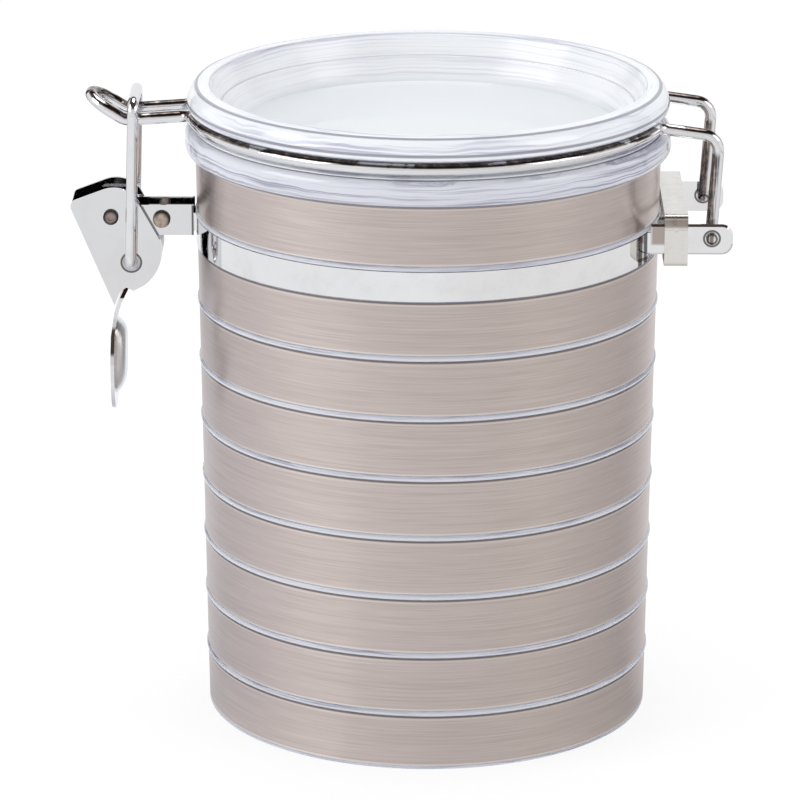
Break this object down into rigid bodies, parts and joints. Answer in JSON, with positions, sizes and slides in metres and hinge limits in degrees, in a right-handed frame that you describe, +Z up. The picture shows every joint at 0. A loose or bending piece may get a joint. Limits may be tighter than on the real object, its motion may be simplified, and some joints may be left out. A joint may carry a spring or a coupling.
{
  "type": "vacuum seal canister",
  "caption": "Round clear food canister with brushed metal wraps, a hinged dished lid and an over-centre wire clamp.",
  "frame": {"origin": "centre of the cup's flat base, on the cup's axis", "axes": "+Z up along the cup's axis, -X towards the latch, +X towards the hinge, +Y across, right-handed"},
  "size_m": [0.1766, 0.1302, 0.1733],
  "materials": {
    "clear_cup": "clear, polished",
    "clear_lid": "clear, polished",
    "seal": "soft, translucent white",
    "wrap_steel": "brushed round the cup",
    "band_chrome": "polished plate",
    "latch_chrome": "polished plate",
    "lever_chrome": "polished plate",
    "loop_chrome": "polished wire",
    "bail_chrome": "polished wire",
    "keeper_steel": "satin plate",
    "rivet_steel": "satin"
  },
  "bodies": {
    "cup": {"canister_body": "clear_cup", "wrap_1": "wrap_steel", "wrap_2": "wrap_steel", "wrap_3": "wrap_steel", "wrap_4": "wrap_steel", "wrap_5": "wrap_steel", "wrap_6": "wrap_steel", "wrap_7": "wrap_steel", "wrap_8": "wrap_steel", "wrap_9": "wrap_steel", "band_front": "band_chrome", "band_rear": "band_chrome", "latch_bracket": "latch_chrome", "bracket_rivet": "rivet_steel", "pivot_rivet": "rivet_steel", "hinge_keeper": "keeper_steel"},
    "lid_and_bail": {"lid": "clear_lid", "gasket": "seal", "bail_wire": "bail_chrome"},
    "lever": {"lever": "lever_chrome"},
    "draw_loop": {"draw_loop": "loop_chrome"}
  },
  "joints": [
    {"name": "lid_hinge", "type": "hinge", "parent": "cup", "child": "lid_and_bail", "pos_m": [0.0752, 0, 0.1362], "axis": [0, 1, 0], "range_deg": [0, 105]},
    {"name": "lever_turn", "type": "hinge", "parent": "cup", "child": "lever", "pos_m": [-0.085, 0, 0.13725], "axis": [0, 1, 0], "range_deg": [0, 120]},
    {"name": "loop_swing", "type": "hinge", "parent": "lever", "child": "draw_loop", "pos_m": [-0.0797, 0, 0.1246], "axis": [0, 1, 0], "range_deg": [-91, 0]}
  ],
  "couplings": [
    {"joint": "loop_swing", "follows": "lever_turn", "ratio": -0.752}
  ]
}
